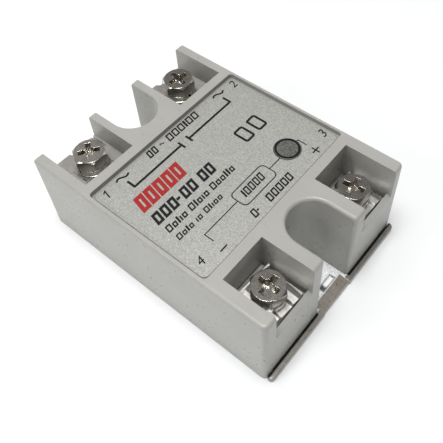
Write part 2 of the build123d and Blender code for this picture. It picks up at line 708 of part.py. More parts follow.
def make_board():
    """The circuit board, with an ear at each input tail and clear of the notch wall."""
    height = (BOARD_LEVEL, BOARD_LEVEL + BOARD_THICKNESS)
    board = block((BOARD_LOAD_END, BOARD_INPUT_END), (-BOARD_HALF_WIDTH, BOARD_HALF_WIDTH), height)
    for terminal in (3, 4):
        tail_y = tail_place(terminal)[1]
        board += block((BOARD_INPUT_END, BOARD_EAR_END), (tail_y - TAIL_WIDTH, tail_y + TAIL_WIDTH), height)
    for terminal in (3, 4):
        board -= tail(terminal, 0, HOUSING_HEIGHT, FIT_GAP / 2)
        x, y = screw_place(terminal)
        board -= disc(x, y, BOSS_RADIUS + FIT_GAP, 0, HOUSING_HEIGHT)
    return board - notch_shape(1, INPUT_NOTCH_RADIUS + load_wall + FIT_GAP, 0, HOUSING_HEIGHT)


def make_component(name):
    """A component's body standing on the board, with softened top edges."""
    x, y, length, width, height = COMPONENTS[name]
    low = BOARD_LEVEL + BOARD_THICKNESS
    body = block((x - length / 2, x + length / 2), (y - width / 2, y + width / 2), (low, low + height))
    return chamfer(body.faces().sort_by(Axis.Z)[-1].edges(), EDGE_BREAK)


def make_resistors():
    """The axial resistors lying in a row on the board."""
    bodies = []
    for place in range(RESISTOR_COUNT):
        y = RESISTOR_FIRST_Y + place * RESISTOR_PITCH
        height = BOARD_LEVEL + BOARD_THICKNESS + RESISTOR_RADIUS
        body = Pos(RESISTOR_X, y, height) * Rot(0, 90, 0) * Cylinder(RESISTOR_RADIUS, RESISTOR_LENGTH)
        bodies.append(fillet(body.edges().filter_by(GeomType.CIRCLE), RESISTOR_END_RADIUS))
    return bodies


def make_potting(embedded):
    """The potting compound that fills the housing from the base plate to just under the board."""
    half_body = PLATE_BODY_WIDTH / 2
    mass = cavity() & block((-half_length, half_length), (-half_body, half_body), (wall_foot, POTTING_LEVEL))
    for shape in embedded:
        for item in shape if isinstance(shape, list) else [shape]:
            mass -= item
    return mass


def one_part(shape):
    """One node's shape, made from one shape or from a list of separate solids."""
    solids = []
    for item in shape if isinstance(shape, list) else [shape]:
        solids.extend(item.solids())
    return solids[0] if len(solids) == 1 else Compound(children=solids)


parts = {
    "housing": make_housing(),
    "base_plate": make_base_plate(),
    "foil_label": make_label(),
    "indicator_window": make_window(),
    "indicator_led": make_led(),
    "indicator_led_legs": make_led_legs(),
    "terminal_nuts": make_nuts(),
    "circuit_board": make_board(),
    "resistors": make_resistors(),
    "ceramic_insulator": make_insulator(),
    "triac_tab": make_triac_tab(),
    "triac_case": make_triac_case(),
    "triac_leads": make_triac_leads(),
}
for component in COMPONENTS:
    parts[component] = make_component(component)
for terminal in TERMINAL_SIDES:
    parts[f"terminal_screw_{terminal}"] = make_screw(terminal)
    parts[f"spring_washer_{terminal}"] = make_spring_washer(terminal)
    if is_load(terminal):
        parts[f"plain_washer_{terminal}"] = make_plain_washer(terminal)
        parts[f"contact_plate_{terminal}"] = make_load_plate(terminal)
        parts[f"load_strap_{terminal}"] = make_load_strap(terminal)
    else:
        parts[f"wire_clamp_{terminal}"] = make_wire_clamp(terminal)
        parts[f"contact_plate_{terminal}"] = make_input_plate(terminal)

embedded_names = ["ceramic_insulator", "triac_tab", "triac_case", "triac_leads"]
embedded_names += ["load_strap_1", "load_strap_2", "contact_plate_1", "contact_plate_2"]
parts["potting_compound"] = make_potting([parts[name] for name in embedded_names])

os.makedirs("parts", exist_ok=True)
for name, shape in parts.items():
    export_step(one_part(shape), f"parts/{name}.step")
    print(name, len(one_part(shape).solids()), round(one_part(shape).volume, 1))
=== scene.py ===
import math

import bmesh
import bpy
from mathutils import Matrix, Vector


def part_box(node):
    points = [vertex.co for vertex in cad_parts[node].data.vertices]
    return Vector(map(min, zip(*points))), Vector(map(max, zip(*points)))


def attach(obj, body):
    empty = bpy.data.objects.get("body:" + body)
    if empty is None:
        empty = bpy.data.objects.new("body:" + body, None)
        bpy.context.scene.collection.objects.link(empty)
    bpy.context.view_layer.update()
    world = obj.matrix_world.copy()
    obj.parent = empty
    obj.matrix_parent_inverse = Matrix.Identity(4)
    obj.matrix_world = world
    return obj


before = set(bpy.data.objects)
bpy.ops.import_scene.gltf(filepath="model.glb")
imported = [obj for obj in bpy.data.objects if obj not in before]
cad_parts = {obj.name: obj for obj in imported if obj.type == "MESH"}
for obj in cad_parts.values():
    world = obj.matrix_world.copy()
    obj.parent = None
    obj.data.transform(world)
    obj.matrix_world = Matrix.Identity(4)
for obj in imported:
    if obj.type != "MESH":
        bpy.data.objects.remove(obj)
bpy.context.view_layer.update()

# The looks of a panel-mount solid state relay. Sizes are in millimetres, and MM turns them into metres.
# +X is the control end, +Y the side of terminals 2 and 3, +Z up.
# The label reads along +Y, with its top at -X.
MM = 0.001
BODY = "relay"

# Camera
CAMERA_PLACE = (57.11, -57.07, 120.41)
CAMERA_TURN = (39.335, 1.723, 38.977)
CAMERA_LENS = 51.37
CAMERA_SENSOR = 36.0
CAMERA_SHIFT = (-0.05, -0.139)
CAMERA_CLIP = (1.0, 10000.0)

# Light and floor. Each dark part of the sky falls to what is left of it between two angles from a direction.
FLOOR_SIZE = 3000.0
WORLD_COLOUR = (1.0, 0.965, 0.955)
WORLD_STRENGTH = 0.50
DARK_SIDE = {"towards": (1.0, 0.0, 0.0), "from": 95.0, "to": 40.0, "left": 0.22}
DARK_FRONT = {"towards": (0.2, -1.0, 0.0), "from": 85.0, "to": 35.0, "left": 0.50}
DARK_CEILING = {"towards": (-0.36, 0.55, 0.75), "from": 20.0, "to": 14.0, "left": 0.42}
KEY_LIGHT = {"place": (-132, -317, 273), "size": (120, 120), "watts": 0.30}
TOP_LIGHT = {"place": (10, -50, 500), "size": (200, 200), "watts": 1.9}
GLINT_LIGHT = {"place": (210, -150, 300), "size": (40, 40), "watts": 0.05}
RIM_LIGHT = {"place": (60, 300, 240), "size": (200, 120), "watts": 0.06}

# Materials
NOISE_MIDDLE = (0.3, 0.7)
EDGE_TURN = (0.995, 0.80)
BEVEL_SAMPLES = 6
OPENNESS_SAMPLES = 8
# Painted highlight colour along the edges of the nickel parts.
PAINTED_EDGE_HIGHLIGHT = (0.92, 0.90, 0.85)

# Label print. Places are (along the reading direction, across it), both from the label's middle.
INK_THICKNESS = 0.02
INK_SINK = 0.005
SLANT = 0.22
RIM_WIDTH = 0.48
RIM_INSET = 0.14
WELD_DISTANCE = 0.001

# The load contact: a thick bracket with a break between two posts
BRACKET_STROKE = 0.52
BRACKET_ENDS = (-14.15, 15.25)
BRACKET_LEVEL = -9.1
BRACKET_TIP = -11.2
BREAK_POSTS = ((-0.75, -0.23), (1.55, 2.07))
BREAK_POST_HEIGHT = (-10.1, -8.0)

# Two alternating-current signs, and a small wave between two blocks:
# start, middle line, length, height of the wave, width of the stroke
WAVES = (
    (-15.7, -12.7, 3.3, 0.36, 0.42),
    (13.8, -12.7, 3.3, 0.36, 0.42),
    (-3.3, -12.6, 1.1, 0.16, 0.26),
)

# The control circuit: a thin line through a rounded box and the indicator window
CIRCUIT_STROKE = 0.22
CIRCUIT_ENDS = (-14.1, 15.3)
CIRCUIT_LEVEL = 9.2
CIRCUIT_TIP = 11.4
CIRCUIT_BOX = ((-4.3, 5.5), (7.3, 11.2))
CIRCUIT_BOX_RADII = (0.95, 1.1)
CIRCUIT_BOX_GAP = (-4.45, 5.62)
CIRCUIT_WINDOW_GAP = (9.2, 14.9)

# Polarity signs
MINUS_BAR = ((-15.05, -13.15), (13.70, 14.00))
PLUS_BAR = ((14.3, 16.3), (13.54, 13.86))
PLUS_POST = ((15.14, 15.46), (12.7, 14.7))

# Two plain boxes in place of an approval mark
MARK_STARTS = (8.9, 13.05)
MARK_WIDTH = 1.8
MARK_HEIGHT = (-2.2, 0.85)
MARK_STROKE = 0.55
MARK_RADII = (0.2, 0.7)

# Digits: the digit, its middle and its size. The digit 1 is an outline of its own.
DIGITS = (("2", 19.8, -12.0, 3.1), ("4", -18.9, 12.4, 2.9), ("3", 19.8, 12.3, 3.1))
DIGIT_ONE_MIDDLE = (-18.9, -12.1)
DIGIT_ONE = (
    (-0.28, 1.05), (0.02, 1.05), (0.47, -1.05), (0.21, -1.05), (-0.42, -0.60), (-0.36, -0.33), (0.10, -0.62),
)

# The signs that stand for letters: what is drawn, and its parts of the full letter width and height
SIGNS = {
    "O": ("frame", 1.0, 1.0),
    "I": ("bar", 0.36, 1.0),
    "o": ("frame", 0.84, 0.72),
    "i": ("bar", 0.28, 0.72),
    "-": ("dash", 0.5, 1.0),
    " ": ("space", 0.35, 1.0),
}

# Lines in place of words: start, base line, height, letter width, gap, stroke, rhythm
BLACK_LINES = (
    (-7.1, -11.6, 1.95, 1.15, 0.26, 0.36, "OO"),
    (-1.3, -11.6, 1.95, 1.46, 0.28, 0.36, "OOOIOO"),
    (-17.9, 1.05, 2.75, 1.78, 0.36, 0.60, "OOO-OO OO"),
    (-17.9, 3.85, 1.65, 1.27, 0.27, 0.33, "OoIio OIoio OooIIo"),
    (-17.9, 6.4, 1.35, 1.14, 0.26, 0.28, "OoIo io OIioo"),
    (-2.75, 10.0, 1.95, 1.16, 0.26, 0.33, "IOOOO"),
    (-5.4, 14.45, 1.9, 1.2, 0.26, 0.34, "O-"),
    (-0.7, 14.45, 1.9, 1.3, 0.26, 0.36, "OOOOO"),
)
RED_LINE = (-17.6, -3.1, 4.0, 2.24, 0.26, 0.90, "OOOOO")

# Base plate: where its smooth ends, its coined strip, its stamped groove with its painted highlight and
# shade, and the painted shade at its joint with the housing lie
PLATE_END_START = 29.9
COINED_START = 28.65
COINED_HALF_WIDTH = 4.6
GROOVE_MIDDLE = (27.7, 1.2)
GROOVE_HALF = (0.55, 2.0)
GROOVE_LIP = -0.04
# The groove's outline and its low end carry painted shade, and the rest of its floor a painted highlight.
GROOVE_SHADE_OUTLINE = 0.34
GROOVE_SHADED_END = 0.2
GROOVE_HIGHLIGHT_START = 0.6
# The plate's lips along the foot of the housing's end walls carry painted shade.
JOINT_SHADE_START = 30.35
JOINT_SHADE_END = 30.55
JOINT_SHADE_LEVEL = 1.2
NOTCH_HALF_WIDTH = 5.6


def mm(*values):
    """A place or a size in metres."""
    return Vector(value * MM for value in values)


# ---------------------------------------------------------------- materials


class Look:
    """A node material with short names for the nodes that every material here needs."""

    def __init__(self, name):
        self.material = bpy.data.materials.new(name)
        self.material.use_nodes = True
        self.tree = self.material.node_tree
        self.shader = self.tree.nodes["Principled BSDF"]
        coordinates = self.tree.nodes.new("ShaderNodeTexCoord")
        mapping = self.tree.nodes.new("ShaderNodeMapping")
        mapping.inputs["Scale"].default_value = (1 / MM, 1 / MM, 1 / MM)
        self.link(coordinates.outputs["Object"], mapping.inputs["Vector"])
        self.millimetres = mapping.outputs["Vector"]

    def link(self, output, socket):
        """Joins one node's output to an input."""
        self.tree.links.new(output, socket)

    def feed(self, socket, value):
        """Sets an input from a value or from another node's output."""
        if isinstance(value, bpy.types.NodeSocket):
            self.link(value, socket)
        else:
            socket.default_value = value

    def made(self, settings):
        """Sets the shader's inputs by name, and gives the finished material."""
        for name, value in settings.items():
            self.feed(self.shader.inputs[name], value)
        return self.material

    def stretched(self, scale):
        """The place on the object, squeezed or stretched along its axes."""
        node = self.tree.nodes.new("ShaderNodeMapping")
        node.inputs["Scale"].default_value = scale
        self.link(self.millimetres, node.inputs["Vector"])
        return node.outputs["Vector"]

    def noise(self, scale, detail=3.0, roughness=0.55, vector=None):
        """Soft noise, with this many spots to a millimetre."""
        node = self.tree.nodes.new("ShaderNodeTexNoise")
        node.inputs["Scale"].default_value = scale
        node.inputs["Detail"].default_value = detail
        node.inputs["Roughness"].default_value = roughness
        self.link(vector or self.millimetres, node.inputs["Vector"])
        return node.outputs["Fac"]

    def cells(self, scale):
        """A random value for each of many small crystals."""
        node = self.tree.nodes.new("ShaderNodeTexVoronoi")
        node.inputs["Scale"].default_value = scale
        self.link(self.millimetres, node.inputs["Vector"])
        apart = self.tree.nodes.new("ShaderNodeSeparateXYZ")
        self.link(node.outputs["Color"], apart.inputs["Vector"])
        return apart.outputs["X"]

    def axes(self):
        """The place on the object along X, Y and Z, in millimetres."""
        apart = self.tree.nodes.new("ShaderNodeSeparateXYZ")
        self.link(self.millimetres, apart.inputs["Vector"])
        return apart.outputs["X"], apart.outputs["Y"], apart.outputs["Z"]

    def beyond(self, place, axis):
        """How far a place lies outside the base plate's stamped groove along one axis, in millimetres."""
        from_middle = self.absolute(self.math("SUBTRACT", place, GROOVE_MIDDLE[axis]))
        return self.math("SUBTRACT", from_middle, GROOVE_HALF[axis])

    def span(self, value, low, high, start=0.0, end=1.0):
        """Maps a value from one range onto another."""
        node = self.tree.nodes.new("ShaderNodeMapRange")
        node.inputs["From Min"].default_value = low
        node.inputs["From Max"].default_value = high
        node.inputs["To Min"].default_value = start
        node.inputs["To Max"].default_value = end
        self.link(value, node.inputs["Value"])
        return node.outputs["Result"]

    def clouded(self, scale, detail, start=0.0, end=1.0):
        """Noise spread from one value to another."""
        return self.span(self.noise(scale, detail), *NOISE_MIDDLE, start, end)

    def math(self, operation, first, second):
        """One sum or comparison of two values."""
        node = self.tree.nodes.new("ShaderNodeMath")
        node.operation = operation
        self.feed(node.inputs[0], first)
        self.feed(node.inputs[1], second)
        return node.outputs["Value"]

    def absolute(self, value):
        """The value without its sign."""
        return self.math("ABSOLUTE", value, 0.0)

    def blend(self, factor, first, second):
        """Mixes two colours, each given as a tuple or as a node's output."""
        node = self.tree.nodes.new("ShaderNodeMix")
        node.data_type = "RGBA"
        inputs = [socket for socket in node.inputs if socket.type == "RGBA"]
        factors = [socket for socket in node.inputs if socket.type == "VALUE" and socket.name == "Factor"]
        self.feed(factors[0], factor)
        for socket, colour in zip(inputs, (first, second)):
            self.feed(socket, (*colour, 1.0) if isinstance(colour, tuple) else colour)
        return next(socket for socket in node.outputs if socket.type == "RGBA")

    def cover(self, base, mask, amount, colour):
        """Lays a colour over another where the mask is 1, by this amount."""
        return self.blend(self.math("MULTIPLY", mask, amount), base, colour)

    def rounded(self, radius):
        """A normal that rounds the edges of crisp solids by this radius in millimetres."""
        node = self.tree.nodes.new("ShaderNodeBevel")
        node.samples = BEVEL_SAMPLES
        node.inputs["Radius"].default_value = radius * MM
        return node.outputs["Normal"]

    def edge_mask(self, normal):
        """1 where a rounded normal leaves the face's own normal, so along edges, and 0 on flat faces."""
        geometry = self.tree.nodes.new("ShaderNodeNewGeometry")
        node = self.tree.nodes.new("ShaderNodeVectorMath")
        node.operation = "DOT_PRODUCT"
        self.link(normal, node.inputs[0])
        self.link(geometry.outputs["True Normal"], node.inputs[1])
        return self.span(node.outputs["Value"], *EDGE_TURN)

    def bump(self, height, distance, normal=None):
        """A normal for a surface that rises by up to this distance in millimetres."""
        node = self.tree.nodes.new("ShaderNodeBump")
        node.inputs["Strength"].default_value = 1.0
        node.inputs["Distance"].default_value = distance * MM
        self.link(height, node.inputs["Height"])
        if normal is not None:
            self.link(normal, node.inputs["Normal"])
        return node.outputs["Normal"]

    def corners(self, distance):
        """How open a place is, from 0 in a deep corner to 1 in the open."""
        node = self.tree.nodes.new("ShaderNodeAmbientOcclusion")
        node.samples = OPENNESS_SAMPLES
        node.inputs["Distance"].default_value = distance * MM
        return node.outputs["AO"]


def housing_plastic():
    """Light warm-grey moulded plastic: fine grain, faint flow clouds, painted shade in corners and painted
    highlights along the edges.
    """
    look = Look("housing_plastic")
    rounded = look.rounded(0.16)
    specks = look.span(look.noise(7.0, 2.0), 0.35, 0.65)
    corner_shade = look.span(look.corners(6.0), 0.80, 0.20)
    base = look.blend(look.clouded(0.09, 4.0), (0.368, 0.366, 0.343), (0.402, 0.399, 0.375))
    base = look.cover(base, specks, 0.08, (0.33, 0.326, 0.305))
    # Painted shade: darker where a place is closed in, in corners, recesses and near the floor.
    base = look.cover(base, corner_shade, 0.50, (0.16, 0.152, 0.138))
    # Painted highlights: a lighter colour along the edges.
    base = look.cover(base, look.edge_mask(rounded), 0.75, (0.62, 0.615, 0.59))
    wavy = look.bump(look.noise(0.16, 2.0), 0.10, rounded)
    return look.made({
        "Base Color": base,
        "Roughness": look.clouded(0.7, 5.0, 0.26, 0.36),
        "Specular IOR Level": 0.50,
        "Normal": look.bump(look.noise(5.5, 3.0), 0.007, wavy),
    })


def nickel(name, light, dark, smooth, rough):
    """Nickel-plated steel: uneven plating, fine scratches, pits, painted shade in crevices and painted
    highlights along the edges.
    """
    look = Look(name)
    rounded = look.rounded(0.09)
    pits = look.span(look.noise(9.0, 2.0), 0.62, 0.72)
    crevice_shade = look.span(look.corners(0.9), 0.6, 0.1)
    base = look.blend(look.clouded(0.9, 5.0), dark, light)
    base = look.cover(base, pits, 0.4, tuple(value * 0.45 for value in dark))
    # Painted shade: darker in crevices such as the screws' cross recesses.
    base = look.cover(base, crevice_shade, 0.35, tuple(value * 0.3 for value in dark))
    # Painted highlights along the edges.
    base = look.cover(base, look.edge_mask(rounded), 0.8, PAINTED_EDGE_HIGHLIGHT)
    scratches = look.noise(6.0, 4.0, 0.6, look.stretched((0.25, 4.0, 1.0)))
    scratched = look.bump(scratches, 0.006, rounded)
    return look.made({
        "Base Color": base,
        "Metallic": 1.0,
        "Roughness": look.clouded(2.2, 5.0, smooth, rough),
        "Normal": look.bump(look.noise(2.0, 2.0), 0.012, scratched),
    })


def zinc_frost(look):
    """The colour of bright zinc crystals with dark pits between them."""
    crystals = look.span(look.cells(3.4), 0.1, 0.9)
    pits = look.span(look.noise(4.0, 3.0, 0.8), 0.56, 0.61)
    frost = look.blend(crystals, (0.72, 0.74, 0.74), (0.98, 0.99, 0.99))
    return look.cover(frost, pits, 0.80, (0.10, 0.105, 0.10))


def stamped_groove(look, frost, along, across):
    """Adds the groove to the frost: an outline of painted shade, a low end in painted shade and a painted
    highlight over the rest of its floor.
    """
    outside = look.math("MAXIMUM", look.beyond(along, 0), look.beyond(across, 1))
    outer_fade = look.span(outside, GROOVE_SHADE_OUTLINE, 0.0)
    outline = look.math("MULTIPLY", look.span(outside, GROOVE_LIP, 0.0), outer_fade)
    floor = look.math("LESS_THAN", outside, GROOVE_LIP)
    groove_highlight = look.math("MULTIPLY", floor, look.span(across, GROOVE_SHADED_END, GROOVE_HIGHLIGHT_START))
    # Painted shade on the outline and the floor, then a painted highlight over most of the floor.
    frost = look.blend(outline, frost, (0.06, 0.062, 0.06))
    frost = look.blend(floor, frost, (0.10, 0.102, 0.10))
    return look.blend(groove_highlight, frost, (0.97, 0.98, 0.98))


def joint_shade(look, from_middle, from_side, up):
    """1 on the plate's lips along the foot of the housing's end walls, where painted shade stands for the
    shadow in the gap.
    """
    near_wall = look.span(from_middle, JOINT_SHADE_END, JOINT_SHADE_START)
    beside_notch = look.math("GREATER_THAN", from_side, NOTCH_HALF_WIDTH)
    on_top = look.math("GREATER_THAN", up, JOINT_SHADE_LEVEL)
    return look.math("MULTIPLY", look.math("MULTIPLY", near_wall, beside_notch), on_top)


def zinc_plate():
    """The base plate: frosted zinc, smooth tarnished ends, a tan coined strip in the input notch, painted
    shade at the foot of the housing and painted highlights along its edges and in its groove.
    """
    look = Look("zinc_plate")
    rounded = look.rounded(0.12)
    along, across, up = look.axes()
    from_middle = look.absolute(along)
    from_side = look.absolute(across)
    ends = look.math("GREATER_THAN", from_middle, PLATE_END_START)
    in_strip = look.math("LESS_THAN", from_side, COINED_HALF_WIDTH)
    strip = look.math("MULTIPLY", look.math("GREATER_THAN", along, COINED_START), in_strip)
    smooth = look.math("MAXIMUM", ends, strip)
    clouds = look.clouded(0.8, 5.0)
    tarnished = look.blend(clouds, (0.26, 0.25, 0.23), (0.36, 0.345, 0.32))
    tan = look.blend(clouds, (0.27, 0.25, 0.215), (0.34, 0.315, 0.275))
    frost = stamped_groove(look, zinc_frost(look), along, across)
    base = look.blend(strip, look.blend(ends, frost, tarnished), tan)
    joint_shade_mask = look.math("MULTIPLY", joint_shade(look, from_middle, from_side, up), ends)
    # Painted shade: near black on the plate's lips at the foot of the housing's end walls.
    base = look.blend(joint_shade_mask, base, (0.012, 0.012, 0.011))
    # Painted highlights along the plate's edges.
    base = look.cover(base, look.edge_mask(rounded), 0.75, (0.90, 0.89, 0.86))
    worn = look.clouded(2.0, 4.0, -0.06, 0.06)
    rough = look.math("MULTIPLY", look.noise(3.4, 3.0), look.span(smooth, 0.0, 1.0, 1.0, 0.25))
    return look.made({
        "Base Color": base,
        "Metallic": look.span(smooth, 0.0, 1.0, 0.15, 0.90),
        "Roughness": look.math("ADD", look.span(smooth, 0.0, 1.0, 0.55, 0.32), worn),
        "Normal": look.bump(rough, 0.05, rounded),
    })


def label_foil():
    """Silver foil with a sandy grain and painted sparkle."""
    look = Look("label_foil")
    grains = look.span(look.noise(3.6, 3.0, 0.8), 0.38, 0.62)
    painted_glints = look.span(look.noise(6.5, 1.0), 0.62, 0.70)
    base = look.blend(grains, (0.285, 0.288, 0.268), (0.485, 0.488, 0.462))
    # Painted glints: near-white specks in the colour.
    base = look.cover(base, painted_glints, 0.7, (0.88, 0.88, 0.86))
    base = look.blend(look.clouded(0.12, 3.0, 0.0, 0.12), base, (0.38, 0.375, 0.35))
    return look.made({
        "Base Color": base,
        "Metallic": 0.30,
        "Roughness": look.clouded(4.0, 2.0, 0.34, 0.55),
        "Normal": look.bump(look.noise(6.0, 2.0), 0.012),
    })


def ink(name, colour, worn):
    """Screen-printed ink: slightly uneven, with a faint grain."""
    look = Look(name)
    thin = look.span(look.noise(3.5, 4.0, 0.7), 0.5, 0.8)
    return look.made({
        "Base Color": look.blend(thin, colour, worn),
        "Roughness": look.clouded(2.0, 3.0, 0.45, 0.60),
        "Specular IOR Level": 0.15,
        "Normal": look.bump(look.noise(5.0, 2.0), 0.008),
    })


def smoky_window():
    """Dark smoky plastic over the indicator, with a sandy grain in it."""
    look = Look("smoky_window")
    grains = look.span(look.noise(3.4, 3.0, 0.8), 0.40, 0.62)
    return look.made({
        "Base Color": look.blend(grains, (0.042, 0.044, 0.040), (0.175, 0.178, 0.168)),
        "Roughness": look.clouded(1.5, 3.0, 0.30, 0.45),
        "Coat Weight": 0.25,
        "Coat Roughness": 0.20,
        "Normal": look.bump(look.noise(3.0, 2.0), 0.01),
    })


def moulded(name, colour, speck, smooth=0.35, rough=0.6, grain=4.0, depth=0.015):
    """A moulded or coated inner part: two close colours, a grain and slightly lighter edges."""
    look = Look(name)
    rounded = look.rounded(0.12)
    lighter = tuple(min(1.0, value * 1.6 + 0.02) for value in colour)
    base = look.blend(look.span(look.noise(grain, 4.0), 0.35, 0.65), colour, speck)
    return look.made({
        "Base Color": look.cover(base, look.edge_mask(rounded), 0.4, lighter),
        "Roughness": look.clouded(1.3, 4.0, smooth, rough),
        "Normal": look.bump(look.noise(grain * 2, 3.0), depth, rounded),
    })


def bare_metal(name, light, dark):
    """Rolled sheet metal with a lengthwise grain and slight tarnish."""
    look = Look(name)
    tarnish = look.span(look.noise(0.6, 5.0), 0.35, 0.7)
    lines = look.noise(5.0, 4.0, 0.6, look.stretched((0.2, 5.0, 1.0)))
    return look.made({
        "Base Color": look.blend(tarnish, light, dark),
        "Metallic": 1.0,
        "Roughness": look.clouded(2.0, 4.0, 0.22, 0.42),
        "Normal": look.bump(lines, 0.012, look.rounded(0.10)),
    })


def floor_paper():
    """Plain white studio paper."""
    look = Look("floor_paper")
    return look.made({
        "Base Color": look.blend(look.clouded(0.02, 3.0), (0.905, 0.925, 0.925), (0.925, 0.945, 0.945)),
        "Roughness": 0.85,
        "Specular IOR Level": 0.2,
        "Normal": look.bump(look.noise(1.5, 3.0), 0.02),
    })


def dress(node, material):
    """Gives a CAD node a material, through its object's material slots."""
    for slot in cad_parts[node].material_slots:
        slot.link = "OBJECT"
        slot.material = material


screw_nickel = nickel("screw_nickel", (0.57, 0.55, 0.505), (0.43, 0.412, 0.373), 0.14, 0.24)
washer_nickel = nickel("washer_nickel", (0.58, 0.56, 0.52), (0.42, 0.40, 0.36), 0.18, 0.32)
clamp_nickel = nickel("clamp_nickel", (0.94, 0.925, 0.89), (0.80, 0.785, 0.75), 0.26, 0.40)
plate_nickel = nickel("plate_nickel", (0.64, 0.63, 0.60), (0.50, 0.49, 0.46), 0.28, 0.45)
black_epoxy = moulded("black_epoxy", (0.020, 0.020, 0.021), (0.036, 0.036, 0.036))
copper = bare_metal("copper", (0.78, 0.40, 0.24), (0.48, 0.22, 0.13))
tinned = bare_metal("tinned", (0.62, 0.62, 0.61), (0.44, 0.44, 0.43))

NODE_LOOKS = {
    "housing": housing_plastic(),
    "base_plate": zinc_plate(),
    "foil_label": label_foil(),
    "indicator_window": smoky_window(),
    "indicator_led": moulded("led_epoxy", (0.42, 0.03, 0.02), (0.50, 0.05, 0.03), 0.10, 0.25, 1.0, 0.004),
    "indicator_led_legs": tinned,
    "terminal_nuts": plate_nickel,
    "circuit_board": moulded("board_laminate", (0.025, 0.13, 0.05), (0.035, 0.17, 0.07), 0.30, 0.5),
    "optocoupler": black_epoxy,
    "snubber_capacitor": moulded("capacitor_coating", (0.30, 0.05, 0.03), (0.36, 0.07, 0.04), 0.18, 0.35),
    "gate_thyristor": black_epoxy,
    "input_transistor": black_epoxy,
    "resistors": moulded("resistor_coating", (0.46, 0.36, 0.22), (0.52, 0.42, 0.27), 0.25, 0.45),
    "ceramic_insulator": moulded("alumina", (0.80, 0.80, 0.77), (0.74, 0.74, 0.71), 0.45, 0.65),
    "triac_tab": copper,
    "triac_case": black_epoxy,
    "triac_leads": tinned,
    "load_strap_1": copper,
    "load_strap_2": copper,
    "potting_compound": moulded(
        "cast_epoxy", (0.016, 0.016, 0.017), (0.028, 0.028, 0.028), 0.2, 0.5, 2.0, 0.04
    ),
}
for terminal in (1, 2, 3, 4):
    NODE_LOOKS[f"terminal_screw_{terminal}"] = screw_nickel
    NODE_LOOKS[f"spring_washer_{terminal}"] = washer_nickel
    NODE_LOOKS[f"contact_plate_{terminal}"] = plate_nickel
for terminal in (1, 2):
    NODE_LOOKS[f"plain_washer_{terminal}"] = washer_nickel
for terminal in (3, 4):
    NODE_LOOKS[f"wire_clamp_{terminal}"] = clamp_nickel
for node, material in NODE_LOOKS.items():
    dress(node, material)

# ---------------------------------------------------------------- printed label


class Print:
    """A flat drawing in one ink, built as thin closed prisms on the label."""

    def __init__(self, level):
        self.mesh = bmesh.new()
        self.low = level - INK_SINK * MM
        self.high = level + INK_THICKNESS * MM

    def corner(self, along, across, height):
        """A place on the label: along the reading direction is +Y, and across it, downwards, is +X."""
        return self.mesh.verts.new((across * MM, along * MM, height))

    def prism(self, outline):
        """A closed prism from an outline in the reading direction, as (along, across) pairs."""
        area = sum(a[0] * b[1] - b[0] * a[1] for a, b in zip(outline, outline[1:] + outline[:1]))
        outline = outline if area > 0 else outline[::-1]
        low = [self.corner(along, across, self.low) for along, across in outline]
        high = [self.corner(along, across, self.high) for along, across in outline]
        count = len(outline)
        self.mesh.faces.new(low)
        self.mesh.faces.new(high[::-1])
        for place in range(count):
            after = (place + 1) % count
            self.mesh.faces.new((low[place], high[place], high[after], low[after]))

    def band(self, inner, outer):
        """A closed band between two outlines with the same number of points, such as a ring or a frame."""
        loops = []
        for outline, height in ((outer, self.low), (outer, self.high), (inner, self.high), (inner, self.low)):
            loops.append([self.corner(along, across, height) for along, across in outline])
        count = len(inner)
        for first, second in zip(loops, loops[1:] + loops[:1]):
            for place in range(count):
                after = (place + 1) % count
                self.mesh.faces.new((first[place], first[after], second[after], second[place]))

    def bar(self, along, across):
        """A rectangle between two places along and two places across."""
        start, end = along
        top, foot = across
        self.prism([(start, top), (end, top), (end, foot), (start, foot)])

    def frame(self, along, across, stroke, radii):
        """A frame around a rectangle, with an inner and an outer corner radius."""
        grown = [(low - stroke, high + stroke) for low, high in (along, across)]
        self.band(rounded_outline(along, across, radii[0]), rounded_outline(*grown, radii[1]))

    def stroke(self, points, width):
        """A line of even width through a few points, as one band-shaped outline."""
        left, right = [], []
        for place, (along, across) in enumerate(points):
            before = points[max(place - 1, 0)]
            after = points[min(place + 1, len(points) - 1)]
            direction = Vector((after[0] - before[0], after[1] - before[1])).normalized()
            side = Vector((-direction.y, direction.x)) * width / 2
            left.append((along + side.x, across + side.y))
            right.append((along - side.x, across - side.y))
        self.prism(left + right[::-1])

    def leaning(self, start, base, width, height):
        """The corners of a slanted block that stands on a base line."""
        lean = height * SLANT
        top = base - height
        return [(start, base), (start + width, base), (start + width + lean, top), (start + lean, top)]

    def words(self, start, base, height, width, gap, stroke, rhythm):
        """A line in place of words. Each sign of the rhythm is a key of SIGNS; a space leaves a gap."""
        along = start
        for sign in rhythm:
            kind, wide, tall = SIGNS[sign]
            wide *= width
            tall *= height
            if kind == "frame":
                inset = stroke + stroke * SLANT
                inner = self.leaning(along + inset, base - stroke, wide - 2 * stroke, tall - 2 * stroke)
                self.band(inner, self.leaning(along, base, wide, tall))
            if kind == "bar":
                self.prism(self.leaning(along, base, wide, tall))
            if kind == "dash":
                self.prism(self.leaning(along, base - height / 2 + stroke / 2, wide, stroke))
            along += wide + gap

    def finish(self, name, material):
        """Makes the drawing a piece that rides on the relay."""
        bmesh.ops.recalc_face_normals(self.mesh, faces=self.mesh.faces)
        data = bpy.data.meshes.new(name)
        self.mesh.to_mesh(data)
        self.mesh.free()
        data.materials.append(material)
        piece = bpy.data.objects.new(name, data)
        bpy.context.scene.collection.objects.link(piece)
        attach(piece, BODY)


